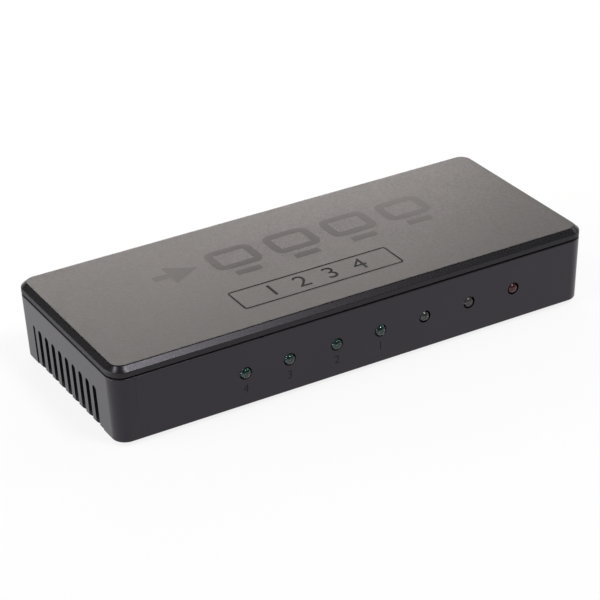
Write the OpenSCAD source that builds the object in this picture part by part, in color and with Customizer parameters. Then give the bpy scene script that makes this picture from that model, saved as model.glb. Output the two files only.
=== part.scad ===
// Video splitter box: one source is shared between four screens.
// A flat two-part plastic case has a row of lamps along its front, vents in both ends, and five
// video sockets and a power jack along its rear. A circuit board inside carries everything.
// Millimetres, +Z up, front face towards -Y. The origin is under the middle of the case, on the
// surface that the rubber feet stand on.

/* [Case] */
// From the centre of the first socket, and of the power jack, to the nearest end of the case
end_margin = 19.25; // [18.5:0.25:26]
// Depth of the case at its parting line, front to rear
case_d = 54; // [51:1:64]
// Height of the lower shell, underside to parting line
base_h = 17.2; // [16.8:0.2:22]
// Radius of the upright corners at the parting line
corner_r = 4.2; // [3.2:0.2:5]
// Thickness of the side walls
wall_t = 1.8; // [1.4:0.1:2.2]
// Thickness of the floor
floor_t = 1.8; // [1.6:0.1:2.6]
// How far each wall leans in between the parting line and the underside
draft = 0.65; // [0.1:0.05:1.2]
// Radius of the edge around the underside
edge_r = 0.5; // [0.3:0.1:1.2]
// Radius that takes the sharpness off the moulded edges
soft_r = 0.25; // [0.1:0.05:0.4]

/* [Cover] */
// Height of the shadow groove between the two halves of the case
seam_gap = 0.4; // [0.3:0.05:0.8]
// Depth of the shadow groove
seam_depth = 0.7; // [0.4:0.1:1]
// Height of the cover's upright band
band_h = 1.35; // [1:0.05:3]
// Height of the bevel above the band
bevel_h = 1.25; // [0.8:0.05:2.2]
// Width of the bevel seen from above
bevel_in = 1.35; // [0.6:0.05:1.6]
// Radius of the edge between the bevel and the flat top
brow_r = 0.6; // [0.2:0.05:0.8]
// Thickness of the cover's flat top
roof_t = 1.6; // [1.2:0.1:2.2]
// How far the locating lip reaches below the cover's rim
lip_h = 1.5; // [1:0.1:2.5]
// Thickness of the locating lip
lip_t = 1; // [0.8:0.1:1.4]
// Clearance between the lip and the wall it enters
lip_gap = 0.2; // [0.1:0.05:0.4]
// Distance that the lip keeps from the rear wall
lip_stop = 9; // [8:0.5:14]

/* [Fastenings] */
// Radius of the cover's screw posts
post_r = 2.8; // [2.4:0.1:3.2]
// Clearance between a cover post and the walls
post_gap = 0.3; // [0.2:0.1:0.6]
// Height of the screw bosses above the underside
boss_h = 9; // [8:0.5:11]
// Radius of a case screw's shank
case_screw_r = 1.25; // [1:0.05:1.4]
// Radius of a case screw's head
case_head_r = 2.3; // [2:0.1:2.5]
// Height of a case screw's head
case_head_h = 1.6; // [1.2:0.1:2]
// Depth of the counterbore that takes a case screw's head
counterbore = 5; // [4:0.2:6]
// Length of a case screw inside the cover's post
screw_grip = 6; // [4:0.5:7]
// Radius of a board screw's shank
board_screw_r = 0.9; // [0.7:0.05:1.1]
// Radius of a board screw's head
board_head_r = 1.9; // [1.6:0.1:2.1]
// Height of a board screw's head
board_head_h = 1.2; // [0.8:0.1:1.6]

/* [Feet] */
// Radius of a rubber foot
foot_r = 4; // [3:0.25:4.5]
// How far a foot stands below the case
foot_h = 1; // [0.6:0.1:2]
// Depth of the round seat that a foot is stuck into
foot_seat = 0.5; // [0.3:0.1:0.8]
// Clearance around a foot in its seat
foot_gap = 0.15; // [0.1:0.05:0.3]
// Distance of the feet from the ends of the case
foot_in_x = 15; // [14:0.5:24]
// Distance of the feet from the front and rear of the case
foot_in_y = 10; // [9:0.5:14]

/* [Vents] */
// Number of vent slots in each end
vent_count = 10; // [6:1:10]
// Spacing of the vent slots
vent_pitch = 3.8; // [3.2:0.1:3.9]
// Width of a vent slot
vent_w = 2; // [1.2:0.1:2.4]
// Width of the rearmost slot, which is narrower than the others
vent_rear_w = 1.1; // [0.6:0.1:1.2]
// Height of the slots' round tops above the underside
vent_top = 11.1; // [8:0.1:13]
// How far the slots run in across the underside
vent_wrap = 4.6; // [3:0.2:6]
// How far the row of slots sits to the rear of the middle
vent_shift = 1.5; // [0:0.1:2.4]
// Height of the bevel along the foot of the ribs between the slots
rib_bevel = 0.65; // [0.3:0.05:1]
// Length of that bevel, front to rear
rib_bevel_l = 37; // [32:0.5:40]

/* [Board] */
// Thickness of the circuit board
board_t = 1.6; // [1:0.1:2]
// Height of the pillars that the board stands on
standoff_h = 2.8; // [2.4:0.1:3.6]
// Radius of the pillars
standoff_r = 2.4; // [2:0.1:2.6]
// Clearance around the board
board_gap = 0.6; // [0.4:0.1:0.8]
// Distance of the board screws from the ends of the board
board_screw_in = 2.9; // [2.7:0.1:3.4]

/* [Video sockets] */
// Spacing of the sockets
socket_pitch = 19; // [18:0.5:24]
// Width of a socket's opening
socket_w = 14; // [13.9:0.05:14.2]
// Height of a socket's opening
socket_h = 4.55; // [4.5:0.05:4.8]
// Length of a socket, front to back
socket_len = 11.4; // [10.6:0.1:12.4]
// How far a socket's mouth lies behind the outside of the wall
socket_recess = 0.3; // [0.1:0.1:0.6]
// Thickness of a socket's metal shell
shell_t = 0.35; // [0.25:0.05:0.5]
// Width of the flange around a socket's mouth
flange_w = 0.5; // [0.3:0.1:0.8]
// Clearance between a flange and the cut-out in the wall
cutout_gap = 0.35; // [0.3:0.05:0.6]
// Width of a socket's tongue
tongue_w = 11; // [10.6:0.1:11.6]
// Thickness of a socket's tongue
tongue_t = 1.3; // [1:0.1:1.5]
// Distance from a socket's mouth to the tip of its tongue
tongue_back = 1.2; // [0.8:0.1:2]

/* [Power jack] */
// Spacing between the last socket and the power jack
jack_step = 17.5; // [16:0.5:22]
// Width of the jack's body
jack_w = 9; // [8.8:0.1:10]
// Height of the jack's body
jack_h = 9.2; // [9:0.1:10]
// Length of the jack's body
jack_len = 13; // [12.5:0.1:14]
// Height of the jack's axis above the board
jack_axis_h = 4.6; // [4.5:0.1:5]
// Radius of the hole that the plug enters
jack_bore_r = 3.15; // [3:0.05:3.3]
// Depth of the hole that the plug enters
jack_bore_len = 9.5; // [9:0.1:10]
// Radius of the centre pin
jack_pin_r = 1; // [0.9:0.05:1.1]
// Distance of the pin's tip behind the jack's front
jack_pin_back = 0.8; // [0.5:0.1:1.5]
// Radius of the round opening in the rear wall
jack_hole_r = 4.2; // [3.8:0.1:4.4]
// Clearance between the jack and the rear wall
jack_gap = 0.3; // [0.2:0.1:0.6]
// Thickness of the spring strip that bears on the plug
spring_t = 0.3; // [0.2:0.05:0.4]

/* [Lamps] */
// Spacing of the lamps
lamp_pitch = 12.7; // [10:0.1:13.4]
// Radius of a lamp
lamp_r = 1.5; // [1.4:0.05:1.6]
// Length of a lamp with its dome
lamp_len = 5.3; // [4.8:0.1:5.8]
// Clearance around a lamp in its hole
lamp_gap = 0.15; // [0.1:0.05:0.3]
// Height of the lamps' axes above the board
lamp_rise = 2.7; // [2.3:0.05:3]
// How far a lamp's dome stands out of the front wall
lamp_proud = 0.9; // [0:0.1:1.4]
// How far the middle of the row of lamps lies to the right of the case's middle
lamp_shift = 5.7; // [0:0.1:8]

/* [Hidden] */
$fn = 48;
arc_steps = 5;
eps = 0.01;

// Colours
case_black = [0.1, 0.1, 0.11];
rubber_black = [0.06, 0.06, 0.06];
insulator_black = [0.08, 0.08, 0.08];
chip_black = [0.09, 0.09, 0.09];
zinc = [0.55, 0.55, 0.57];
nickel = [0.75, 0.75, 0.77];
tin = [0.72, 0.72, 0.72];
gold = [0.85, 0.68, 0.3];
bronze = [0.8, 0.62, 0.35];
aluminium = [0.7, 0.71, 0.73];
board_green = [0.06, 0.28, 0.16];
fuse_green = [0.15, 0.3, 0.2];
pad_grey = [0.6, 0.68, 0.75];
ferrite_grey = [0.2, 0.2, 0.21];
ceramic_brown = [0.62, 0.5, 0.38];
lamp_green = [0.1, 0.3, 0.15];
lamp_pale_green = [0.3, 0.36, 0.3];
lamp_clear = [0.5, 0.5, 0.5];
lamp_red = [0.4, 0.05, 0.05];
lamp_tints = [lamp_green, lamp_green, lamp_green, lamp_green, lamp_pale_green, lamp_clear, lamp_red];

// Names of the repeated pieces, from the left end of the case to the right
SOCKETS = ["video_out_4", "video_out_3", "video_out_2", "video_out_1", "video_in"];
LAMPS = ["lamp_out_4", "lamp_out_3", "lamp_out_2", "lamp_out_1", "lamp_in", "lamp_link", "lamp_power"];

// Levels
z_base = foot_h;
z_floor = z_base + floor_t;
z_board = z_floor + standoff_h;
z_deck = z_board + board_t;
z_boss = z_base + boss_h;
z_seam = z_base + base_h;
z_rim = z_seam + seam_gap;
z_top = z_rim + band_h + bevel_h;
z_roof = z_top - roof_t;

// Plan of the case
socket_span = (len(SOCKETS) - 1) * socket_pitch;
row_l = socket_span + jack_step;
case_l = row_l + 2 * end_margin;
least_r = 0.4;
inner_r = max(corner_r - wall_t, draft + least_r);
function lean(z) = draft * (1 - (z - z_base) / base_h);
function outer_y(z) = case_d / 2 - lean(z);
function inner_y(z) = outer_y(z) - wall_t;
post_in = draft + wall_t + post_gap + max(post_r, inner_r);
post_x = case_l / 2 - post_in;
post_y = case_d / 2 - post_in;

// Screws and their holes
thread_gap = 0.05;
shank_gap = 0.25;
head_gap = 0.3;
boss_wall = 1.1;
boss_r = case_head_r + head_gap + boss_wall;
drive_w = 0.7;
drive_depth = 0.7;
pilot_spare = 0.5;
tip_spare = 0.4;

// Moulding details; the locating lip stops short of the posts in the corners
rim_root = 0.5;
foot_taper = 0.2;
lip_corner_gap = 1;
lip_corner = post_in + post_r + lip_corner_gap;

// Faint line that the mould's insert leaves near the left end of the front
insert_line_in = 5.7;
insert_line_w = 0.14;
insert_line_depth = 0.03;

// Board and what stands on it
board_l = 2 * (post_x - boss_r - board_gap);
board_d = 2 * (inner_y(z_board) - board_gap);
tail_len = 0.8;

// Sockets
socket_z = z_deck + shell_t + socket_h / 2;
socket_y = outer_y(socket_z) - socket_recess;
function socket_x(i) = -row_l / 2 + i * socket_pitch;
socket_cut_w = 2;
socket_cut_h = 1.9;
flange_t = 0.3;
leg_w = 1.2;
leg_hole_r = 0.85;
leg_back = [5, 9.8];
finger_w = 1.6;
finger_l = 4.2;
finger_x = 3.4;
finger_back = 1.3;
slit = 0.3;
block_len = 3;
block_gap = 0.03;
upper_contacts = 10;
lower_contacts = 9;
contact_pitch = 1;
contact_w = 0.35;
contact_t = 0.14;
contact_foot = 0.9;
contact_back = 0.5;
cutout_r = 0.6;
deck_under_socket = -shell_t - socket_h / 2;

// Power jack
jack_x = row_l / 2;
jack_front = inner_y(z_deck) - jack_gap;
jack_rear = jack_front - jack_len;
jack_z = z_deck + jack_axis_h;
jack_back_t = jack_len - jack_bore_len;
pin_step = 0.3;
pin_shank_r = jack_pin_r + pin_step;
pin_tab_w = 1.8;
pin_tab_t = 0.8;
pin_tab_hole_r = 1.25;
pin_taper = 0.3;
spring_ahead = 0.2;
spring_root = jack_back_t + spring_ahead;
spring_x = -3.7;
spring_half_h = 1.4;
spring_tab_w = 1;
spring_hole_r = 0.9;
spring_room = 0.5;
spring_reach = 7.2;
spring_bow = 1.15;
spring_bow_at = 5.6;
spring_bend_at = 3.6;
spring_tip = 0.2;
spring_bends = [[0, -spring_tab_w / 2], [0, spring_bend_at], [spring_bow, spring_bow_at],
                [spring_tip, spring_reach]];

// Lamps
lamp_z = z_deck + lamp_rise;
lamp_flange_r = 1.9;
lamp_flange_t = 1;
dome_step = 10;
lead_t = 0.5;
lead_spread = 1.27;
lead_hole_r = 0.55;
lead_run = 0.9;
// The lamps were soldered by eye: the three on the right sit a little deeper in their holes
lamp_set_back = [0, 0, 0, 0, 0.3, 0.4, 0.4];
// Their holes were drilled by eye too, and stray a little from even places along the front
lamp_stray = [0.5, -0.3, 0, -0.4, -0.4, -0.1, 0.4];
function lamp_x(i) = lamp_shift + (i - (len(LAMPS) - 1) / 2) * lamp_pitch + lamp_stray[i];
function lamp_tip_y(i) = -outer_y(lamp_z) - lamp_proud + lamp_set_back[i];
lamp_tail_y = -outer_y(lamp_z) - lamp_proud + lamp_len + max(lamp_set_back) + lead_run;

// Board screws stand clear of the lamps' leads in front and of the power jack behind
board_screw_x = board_l / 2 - board_screw_in;
head_clear = 0.4;
board_screw_front = lamp_tail_y + lead_t + board_head_r + head_clear;
board_screw_rear = jack_rear - pin_tab_t - board_head_r - head_clear;

// Parts on the board: length, width, height. Pins: width, reach, rise, thickness.
part_gap = 0.8;

// Front row, behind the lamps
resistor_size = [2, 1.25, 0.6];
resistor_y = lamp_tail_y + (lead_t + resistor_size.y) / 2 + part_gap;
front_row = resistor_y + resistor_size.y / 2;

// Rear rows, in front of the sockets
surge_size = [2.5, 1, 0.6];
surge_shift = 3;
surge_y = socket_y - socket_len - contact_foot - part_gap - surge_size.y / 2;
memory_size = [4.9, 3.9, 1.5];
memory_shift = 2.5;
memory_pins_per_side = 4;
memory_pin_pitch = 1.27;
memory_pin = [0.4, 1, 0.8, 0.2];
memory_y = surge_y - (surge_size.y + memory_size.y) / 2 - memory_pin[1] - part_gap;
rear_row = memory_y - memory_size.y / 2 - memory_pin[1];

// Main chip with its heat sink and crystal, between the rows
chip_shift = -2;
chip_size = [14, 14, 1.5];
chip_pins_per_side = 16;
chip_pin_pitch = 0.8;
chip_pin = [0.35, 1, 0.75, 0.15];
bypass_size = [1.6, 0.8, 0.8];
bypass_spread = 4;
bypass_out = (chip_size + bypass_size) / 2 + (chip_pin[1] + part_gap) * [1, 1, 0];
chip_at = [chip_shift, (front_row + rear_row + bypass_size.y + part_gap) / 2];
pad_t = 0.4;
pad_margin = 0.5;
sink_l = 17;
sink_base = 1.5;
sink_h = 6.5;
fin_t = 1;
fin_count = 6;
crystal_size = [4.7, 11.4, 3.6];
crystal_r = 2.2;
crystal_gap = 5;
crystal_at = chip_at - [bypass_out.x + bypass_size.x / 2 + crystal_gap + crystal_size.x / 2, 0];

// Power supply, in two rows beside the jack
supply_gap = 3.6;
function supply_row(i) = front_row + (rear_row - front_row) * (2 * i + 1) / 4;
inductor_shift = 7;
inductor_size = [7, 7, 4];
inductor_corner = 1;
inductor_at = [jack_x - inductor_shift, supply_row(0)];
diode_size = [4.4, 2.6, 2.2];
diode_at = [jack_x - inductor_shift, supply_row(1)];
can_r = 3.15;
can_h = 5.4;
can_edge_r = 0.4;
can_base = [6.6, 6.6, 0.9];
can_corner = 1.2;
can_x = inductor_at.x - (inductor_size.x + can_base.x) / 2 - supply_gap;
regulator_size = [6.5, 3.5, 1.7];
regulator_pitch = 2.3;
regulator_pin = [0.7, 1.6, 0.9, 0.25];
regulator_tab = [3, 1.6, 0.9, 0.25];
regulator_x = can_x - (can_base.x + regulator_size.x) / 2 - supply_gap;
fuse_size = [4.6, 3.2, 1];
fuse_shift = 3;
fuse_at = [jack_x - fuse_shift, jack_rear - pin_tab_t - part_gap - fuse_size.y / 2];

// Rounds the corners of an outline
function unit(v) = v / norm(v);
function corner_arc(a, b, c, r) =
    let (
        u = unit(a - b),
        w = unit(c - b),
        half = acos(u * w) / 2,
        centre = b + unit(u + w) * r / sin(half),
        from = b + u * r / tan(half) - centre,
        to = b + w * r / tan(half) - centre,
        start = atan2(from.y, from.x),
        turn = (atan2(to.y, to.x) - start + 540) % 360 - 180
    )
    [for (i = [0 : arc_steps])
        centre + r * [cos(start + turn * i / arc_steps), sin(start + turn * i / arc_steps)]];
function rounded(pts, radii) =
    let (n = len(pts))
    [for (i = [0 : n - 1])
        each radii[i] > 0
            ? corner_arc(pts[(i + n - 1) % n], pts[i], pts[(i + 1) % n], radii[i])
            : [pts[i]]];

// Carries an upright profile around a rounded rectangle; the profile starts at the corner's centre
module sweep(l, d, r, z0, z1) {
    translate([r - l / 2, r - d / 2, z0])
        cube([l - 2 * r, d - 2 * r, z1 - z0]);
    for (side = [0 : 3]) {
        away = side % 2 == 0 ? l : d;
        along = side % 2 == 0 ? d : l;
        rotate(90 * side)
            translate([away / 2 - r, 0, 0])
                rotate([90, 0, 0])
                    linear_extrude(along - 2 * r, center = true)
                        children();
        rotate(90 * side)
            translate([away / 2 - r, along / 2 - r, 0])
                rotate_extrude(angle = 90)
                    children();
    }
}

// Block with upright sides and rounded corners
module slab(l, d, r, z0, z1) {
    sweep(l, d, r, z0, z1)
        translate([0, z0])
            square([r, z1 - z0]);
}

module four_corners(x, y) {
    for (sx = [-1, 1])
        for (sy = [-1, 1])
            translate([sx * x, sy * y, 0])
                children();
}

module board_screw_places() {
    for (sx = [-1, 1])
        for (y = [board_screw_front, board_screw_rear])
            translate([sx * board_screw_x, y, 0])
                children();
}

module box_on_deck(at, size) {
    translate([at.x - size.x / 2, at.y - size.y / 2, z_deck])
        cube(size);
}

// Bent pin that runs out from a chip's side at y = 0 and down to the board at z = 0.
// Its size is a list: width, reach, rise and thickness.
module gull_pin(size) {
    w = size[0];
    reach = size[1];
    rise = size[2];
    t = size[3];
    bend = reach / 2;
    translate([-w / 2, 0, rise - t])
        cube([w, bend, t]);
    translate([-w / 2, bend - t, 0])
        cube([w, t, rise]);
    translate([-w / 2, bend - t, 0])
        cube([w, reach - bend + t, t]);
}

module cross_recess() {
    for (turn = [0, 90])
        rotate(turn)
            translate([-drive_w * 2, -drive_w / 2, 0])
                cube([drive_w * 4, drive_w, drive_depth]);
}

// Case

module shell_walls() {
    difference() {
        sweep(case_l, case_d, corner_r, z_base, z_seam)
            polygon(rounded(
                [[0, z_base], [corner_r - draft, z_base], [corner_r, z_seam], [0, z_seam]],
                [0, edge_r, soft_r, 0]));
        case_cavity();
        for (end = [0, 180])
            rotate(end)
                vent_row(end == 0 ? 1 : -1);
    }
    difference() {
        slab(case_l - 2 * seam_depth, case_d - 2 * seam_depth, corner_r - seam_depth,
             z_seam - rim_root, z_rim);
        case_cavity();
    }
}

module case_cavity() {
    sweep(case_l - 2 * wall_t, case_d - 2 * wall_t, inner_r, z_floor, z_top)
        polygon([
            [0, z_floor], [inner_r - lean(z_floor), z_floor], [inner_r, z_seam], [inner_r, z_top],
            [0, z_top]]);
}

module vent_row(side) {
    edge = case_l / 2 - draft;
    cut_l = vent_wrap + draft + 1;
    for (i = [0 : vent_count - 1]) {
        w = i == vent_count - 1 ? vent_rear_w : vent_w;
        middle = (i - (vent_count - 1) / 2) * vent_pitch + vent_shift - (vent_w - w) / 2;
        translate([edge - vent_wrap, side * middle, z_base]) {
            translate([0, -w / 2, -1])
                cube([cut_l, w, vent_top - w / 2 + 1]);
            translate([0, 0, vent_top - w / 2])
                rotate([0, 90, 0])
                    cylinder(r = w / 2, h = cut_l);
        }
    }
    translate([edge, rib_bevel_l / 2, z_base])
        rotate([90, 0, 0])
            linear_extrude(rib_bevel_l)
                polygon([[-rib_bevel - 1, -1], [1, -1], [1, rib_bevel + 1]]);
}

module bottom_shell() {
    color(case_black)
        difference() {
            union() {
                shell_walls();
                four_corners(post_x, post_y)
                    translate([0, 0, z_base + floor_t / 2])
                        cylinder(r = boss_r, h = boss_h - floor_t / 2);
                board_screw_places()
                    translate([0, 0, z_floor - eps])
                        cylinder(r = standoff_r, h = standoff_h + eps);
            }
            four_corners(post_x, post_y) {
                translate([0, 0, -1])
                    cylinder(r = case_head_r + head_gap, h = z_base + counterbore + 1);
                cylinder(r = case_screw_r + shank_gap, h = z_boss + 1);
            }
            board_screw_places()
                translate([0, 0, z_floor])
                    cylinder(r = board_screw_r + thread_gap, h = standoff_h + 1);
            four_corners(case_l / 2 - foot_in_x, case_d / 2 - foot_in_y)
                cylinder(r = foot_r + foot_gap, h = z_base + foot_seat);
            for (i = [0 : len(LAMPS) - 1])
                translate([lamp_x(i), -case_d / 2 - 1, lamp_z])
                    rotate([-90, 0, 0])
                        cylinder(r = lamp_r + lamp_gap, h = wall_t + draft + 2);
            for (i = [0 : len(SOCKETS) - 1])
                socket_cutout(i);
            translate([jack_x, case_d / 2 + 1, jack_z])
                rotate([90, 0, 0])
                    cylinder(r = jack_hole_r, h = wall_t + draft + 2);
            translate([insert_line_in - case_l / 2, -case_d / 2, z_seam])
                rotate([atan(draft / base_h), 0, 0])
                    translate([-insert_line_w / 2, -insert_line_depth, -base_h - 1])
                        cube([insert_line_w, insert_line_depth * 2, base_h + 2]);
        }
}

module socket_cutout(i) {
    w = socket_w / 2 + shell_t + flange_w + cutout_gap;
    h = socket_h / 2 + shell_t + flange_w + cutout_gap;
    translate([socket_x(i), case_d / 2 + 1, socket_z])
        rotate([90, 0, 0])
            linear_extrude(wall_t + draft + 2)
                polygon(rounded(
                    [[-w, -h], [w, -h], [w, h], [-w, h]],
                    [cutout_r, cutout_r, cutout_r, cutout_r]));
}

module top_cover() {
    lip_l = case_l - 2 * (wall_t + lip_gap);
    lip_d = case_d - 2 * (wall_t + lip_gap);
    lip_r = max(inner_r - lip_gap, lip_t + least_r);
    lip_cut_h = z_roof - z_rim + lip_h + 1;
    color(case_black)
        difference() {
            union() {
                difference() {
                    sweep(case_l, case_d, corner_r, z_rim, z_top)
                        polygon(rounded(
                            [[0, z_rim], [corner_r, z_rim], [corner_r, z_rim + band_h],
                             [corner_r - bevel_in, z_top], [0, z_top]],
                            [0, soft_r, soft_r, brow_r, 0]));
                    slab(case_l - 2 * wall_t, case_d - 2 * wall_t, inner_r, z_rim - 1, z_roof);
                }
                difference() {
                    slab(lip_l, lip_d, lip_r, z_rim - lip_h, z_roof + eps);
                    slab(lip_l - 2 * lip_t, lip_d - 2 * lip_t, lip_r - lip_t, z_rim - lip_h - 1, z_top);
                    translate([-case_l, case_d / 2 - wall_t - lip_stop, z_rim - lip_h - 1])
                        cube([2 * case_l, case_d, lip_cut_h]);
                    four_corners(case_l / 2, case_d / 2)
                        translate([-lip_corner, -lip_corner, z_rim - lip_h - 1])
                            cube([2 * lip_corner, 2 * lip_corner, lip_cut_h]);
                }
                four_corners(post_x, post_y)
                    translate([0, 0, z_boss])
                        cylinder(r = post_r, h = z_roof - z_boss + eps);
            }
            four_corners(post_x, post_y)
                translate([0, 0, z_boss - 1])
                    cylinder(r = case_screw_r + thread_gap, h = screw_grip + pilot_spare + 1);
        }
}

module rubber_feet() {
    color(rubber_black)
        four_corners(case_l / 2 - foot_in_x, case_d / 2 - foot_in_y)
            rotate_extrude()
                polygon(rounded(
                    [[0, 0], [foot_r - foot_taper, 0], [foot_r, foot_h], [foot_r, foot_h + foot_seat],
                     [0, foot_h + foot_seat]],
                    [0, soft_r, 0, 0, 0]));
}

module case_screws() {
    seat = z_base + counterbore;
    color(zinc)
        four_corners(post_x, post_y)
            difference() {
                union() {
                    translate([0, 0, seat - case_head_h])
                        cylinder(r = case_head_r, h = case_head_h);
                    translate([0, 0, seat - eps])
                        cylinder(r = case_screw_r, h = z_boss - seat + screw_grip + eps);
                }
                translate([0, 0, seat - case_head_h - eps])
                    cross_recess();
            }
}

module board_screws() {
    shank = board_t + standoff_h - tip_spare;
    color(zinc)
        board_screw_places()
            difference() {
                union() {
                    translate([0, 0, z_deck])
                        cylinder(r = board_head_r, h = board_head_h);
                    translate([0, 0, z_deck - shank])
                        cylinder(r = board_screw_r, h = shank + eps);
                }
                translate([0, 0, z_deck + board_head_h - drive_depth + eps])
                    cross_recess();
            }
}

// Board

module drill(x, y, r) {
    translate([x, y, z_board - 1])
        cylinder(r = r, h = board_t + 2);
}

module main_board() {
    color(board_green)
        difference() {
            translate([-board_l / 2, -board_d / 2, z_board])
                cube([board_l, board_d, board_t]);
            board_screw_places()
                drill(0, 0, board_screw_r + shank_gap);
            for (i = [0 : len(LAMPS) - 1])
                for (sx = [-1, 1])
                    drill(lamp_x(i) + sx * lead_spread, lamp_tail_y, lead_hole_r);
            for (i = [0 : len(SOCKETS) - 1])
                for (sx = [-1, 1])
                    for (back = leg_back)
                        drill(socket_x(i) + sx * (socket_w + shell_t) / 2, socket_y - back, leg_hole_r);
            drill(jack_x, jack_rear - pin_tab_t / 2, pin_tab_hole_r);
            drill(jack_x + spring_x, jack_rear + spring_root, spring_hole_r);
        }
}

// Video sockets, drawn with the mouth at y = 0 and the opening's centre at x = z = 0

module at_socket(i) {
    translate([socket_x(i), socket_y, socket_z])
        children();
}

// The opening's outline, grown by the given amount: square above, slanted corners below
function socket_outline(grow) =
    let (
        slope = norm([socket_cut_w, socket_cut_h]),
        w = socket_w / 2 + grow,
        h = socket_h / 2 + grow,
        cut_w = socket_cut_w + grow + grow * (socket_cut_w - slope) / socket_cut_h,
        cut_h = socket_cut_h + grow + grow * (socket_cut_h - slope) / socket_cut_w
    )
    [[-w, h], [-w, cut_h - h], [cut_w - w, -h], [w - cut_w, -h], [w, cut_h - h], [w, h]];

module socket_ring(len, grow) {
    rotate([90, 0, 0])
        linear_extrude(len)
            difference() {
                polygon(socket_outline(grow));
                polygon(socket_outline(0));
            }
}

module socket_shell() {
    color(nickel)
        difference() {
            union() {
                socket_ring(socket_len, shell_t);
                socket_ring(flange_t, shell_t + flange_w);
                for (sx = [-1, 1])
                    for (back = leg_back)
                        translate([sx * (socket_w + shell_t) / 2 - shell_t / 2, -back - leg_w / 2,
                                   deck_under_socket - board_t - tail_len])
                            cube([shell_t, leg_w, board_t + tail_len - deck_under_socket]);
            }
            for (sx = [-1, 1])
                translate([sx * finger_x - finger_w / 2 - slit, -finger_back - finger_l, 0])
                    difference() {
                        cube([finger_w + 2 * slit, finger_l, socket_h]);
                        translate([slit, -1, -1])
                            cube([finger_w, finger_l + 1 - slit, socket_h + 2]);
                    }
        }
}

module socket_insert() {
    color(insulator_black)
        difference() {
            union() {
                translate([0, block_len - socket_len, 0])
                    rotate([90, 0, 0])
                        linear_extrude(block_len)
                            polygon(socket_outline(-block_gap));
                translate([-tongue_w / 2, -socket_len + eps, -tongue_t / 2])
                    cube([tongue_w, socket_len - tongue_back - eps, tongue_t]);
            }
            socket_contact_strips();
        }
}

// One contact: a strip along the tongue, a riser behind the block and a foot on the board
module contact_strip(x, z) {
    strip_len = socket_len + contact_t - tongue_back - contact_back;
    translate([x - contact_w / 2, -socket_len - contact_t, z])
        cube([contact_w, strip_len, contact_t]);
    translate([x - contact_w / 2, -socket_len - contact_t, deck_under_socket])
        cube([contact_w, contact_t, z + contact_t - deck_under_socket]);
    translate([x - contact_w / 2, -socket_len - contact_foot, deck_under_socket])
        cube([contact_w, contact_foot, contact_t]);
}

module socket_contact_strips() {
    for (i = [0 : upper_contacts - 1])
        contact_strip((i - (upper_contacts - 1) / 2) * contact_pitch, tongue_t / 2);
    for (i = [0 : lower_contacts - 1])
        contact_strip((i - (lower_contacts - 1) / 2) * contact_pitch, -tongue_t / 2 - contact_t);
}

module socket_contacts() {
    color(gold)
        socket_contact_strips();
}

// Power jack, drawn with the axis at x = z = 0 and the rear of the body at y = 0

module at_jack() {
    translate([jack_x, jack_rear, jack_z])
        children();
}

module dc_jack_body() {
    window_y = spring_root - spring_tab_w / 2 - spring_room;
    slot_w = jack_w + spring_x + spring_t / 2 + spring_room;
    window_w = slot_w + spring_bow;
    window_l = spring_tab_w / 2 + spring_reach + 2 * spring_room;
    color(insulator_black)
        at_jack()
            difference() {
                translate([-jack_w / 2, 0, -jack_axis_h])
                    cube([jack_w, jack_len, jack_h]);
                translate([0, jack_back_t, 0])
                    rotate([-90, 0, 0])
                        cylinder(r = jack_bore_r, h = jack_bore_len + 1);
                translate([0, -1, 0])
                    rotate([-90, 0, 0])
                        cylinder(r = pin_shank_r + thread_gap, h = jack_len);
                translate([-jack_w, window_y, -spring_half_h - spring_room])
                    cube([window_w, window_l, 2 * (spring_half_h + spring_room)]);
                translate([-jack_w, window_y, -jack_axis_h - 1])
                    cube([slot_w, spring_tab_w + 2 * spring_room, jack_axis_h + 1]);
            }
}

module dc_jack_pin() {
    color(nickel)
        at_jack() {
            rotate([-90, 0, 0]) {
                translate([0, 0, -pin_tab_t])
                    cylinder(r = pin_shank_r, h = jack_back_t + pin_tab_t);
                cylinder(r = jack_pin_r, h = jack_len - jack_pin_back - pin_taper);
                translate([0, 0, jack_len - jack_pin_back - pin_taper])
                    cylinder(r1 = jack_pin_r, r2 = jack_pin_r - pin_taper, h = pin_taper);
            }
            translate([-pin_tab_w / 2, -pin_tab_t, -jack_axis_h - board_t - tail_len])
                cube([pin_tab_w, pin_tab_t, jack_axis_h + board_t + tail_len]);
        }
}

// Spring strip beside the plug: it pivots on its upright tab when a plug pushes it aside
module dc_jack_spring() {
    half = spring_t / 2;
    tab_h = jack_axis_h + board_t + tail_len;
    color(bronze)
        at_jack()
            translate([spring_x, spring_root, 0]) {
                translate([0, 0, -spring_half_h])
                    linear_extrude(2 * spring_half_h)
                        polygon(concat(
                            [for (p = spring_bends) p - [half, 0]],
                            [for (i = [len(spring_bends) - 1 : -1 : 0]) spring_bends[i] + [half, 0]]));
                translate([-half, -spring_tab_w / 2, -tab_h])
                    cube([spring_t, spring_tab_w, tab_h]);
            }
}

// Lamps

module lamp_lens(i) {
    shoulder = lamp_len - lamp_r;
    color(lamp_tints[i])
        translate([lamp_x(i), lamp_tip_y(i) + lamp_len, lamp_z])
            rotate([90, 0, 0])
                rotate_extrude()
                    polygon(concat(
                        [[0, 0], [lamp_flange_r, 0], [lamp_flange_r, lamp_flange_t], [lamp_r, lamp_flange_t]],
                        [for (a = [0 : dome_step : 89]) [lamp_r * cos(a), shoulder + lamp_r * sin(a)]],
                        [[0, lamp_len]]));
}

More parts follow.
